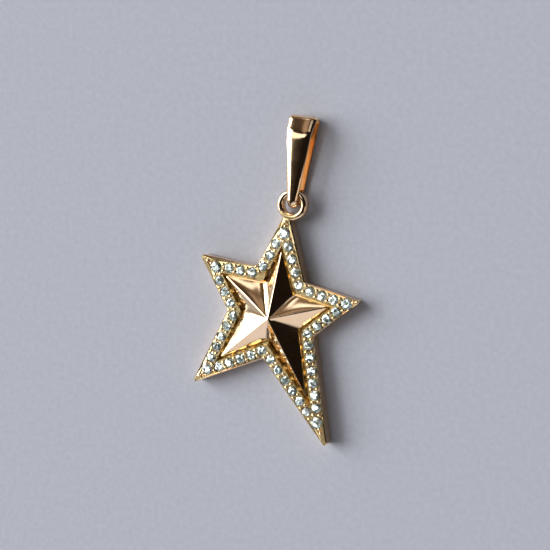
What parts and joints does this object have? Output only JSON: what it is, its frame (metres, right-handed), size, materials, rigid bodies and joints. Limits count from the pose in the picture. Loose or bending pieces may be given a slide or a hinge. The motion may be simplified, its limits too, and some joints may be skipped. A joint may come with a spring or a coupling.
{
  "type": "star pendant",
  "caption": "Faceted five-point star pendant with a stone-set border, an eyelet ring at its top tip and a tapered loop bail for a chain.",
  "frame": {"origin": "on the flat back of the star, under the point where its ten facets meet", "axes": "+Z out of the star's face, +Y along the pendant towards the bail, +X to the right as seen from the front"},
  "size_m": [0.021, 0.0391, 0.0037],
  "materials": {
    "gold_plate": "polished gold plate",
    "cut_stone": "clear cut stone"
  },
  "bodies": {
    "root": {"star_frame": "gold_plate", "bail": "gold_plate", "pave_stones": "cut_stone", "tip_stone_top": "cut_stone", "tip_stone_right": "cut_stone", "tip_stone_bottom": "cut_stone", "tip_stone_lower_left": "cut_stone", "tip_stone_left": "cut_stone"}
  },
  "joints": []
}
